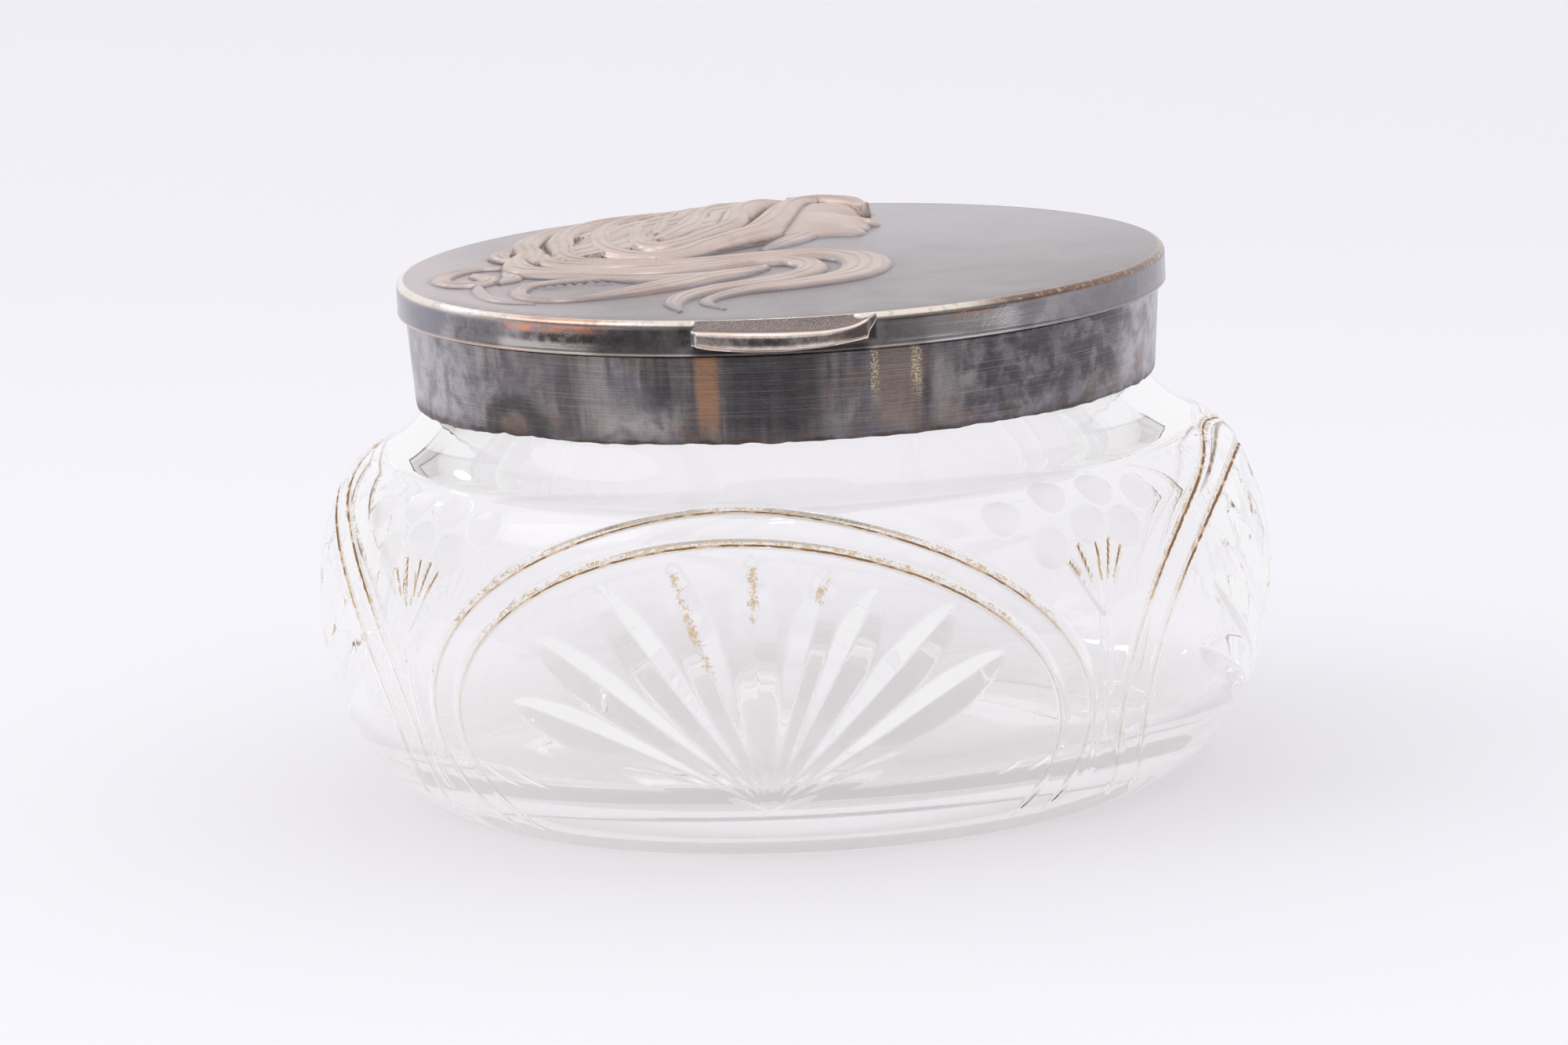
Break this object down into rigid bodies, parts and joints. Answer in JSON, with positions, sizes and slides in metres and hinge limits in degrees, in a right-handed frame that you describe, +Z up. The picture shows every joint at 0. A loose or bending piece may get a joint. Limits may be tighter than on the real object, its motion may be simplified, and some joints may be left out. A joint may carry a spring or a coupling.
{
  "type": "powder jar",
  "caption": "Squat cut-glass powder jar with a tarnished silver-plated collar and a hinged lid that has a relief figure on top and a thumb lift at the front.",
  "frame": {"origin": "the middle of the underside of the glass bowl, on the table", "axes": "+Z up; the thumb lift faces -Y and the hinge is at +Y; +X is to the right seen from the front"},
  "size_m": [0.1, 0.1, 0.0569],
  "materials": {
    "clear_glass": "clear cut glass, polished mitre cuts, satin lens dots",
    "plaster_cement": "dull white plaster",
    "collar_metal": "silver plate, brushed round and dark with tarnish",
    "lid_metal": "silver plate, satin, worn to copper on edges and relief",
    "pin_metal": "drawn wire, dull"
  },
  "bodies": {
    "jar": {"glass_bowl": "clear_glass", "neck_cement": "plaster_cement", "collar_band": "collar_metal", "collar_bezel": "collar_metal", "collar_hinge_leaf": "collar_metal", "hinge_pin": "pin_metal"},
    "lid": {"lid_cover": "lid_metal", "lid_seat_ring": "collar_metal", "lid_hinge_leaf": "collar_metal", "thumb_lift": "lid_metal"}
  },
  "joints": [
    {"name": "lid_hinge", "type": "hinge", "parent": "jar", "child": "lid", "pos_m": [0, 0.0428, 0.0511], "axis": [-1, 0, 0], "range_deg": [0, 105]}
  ]
}
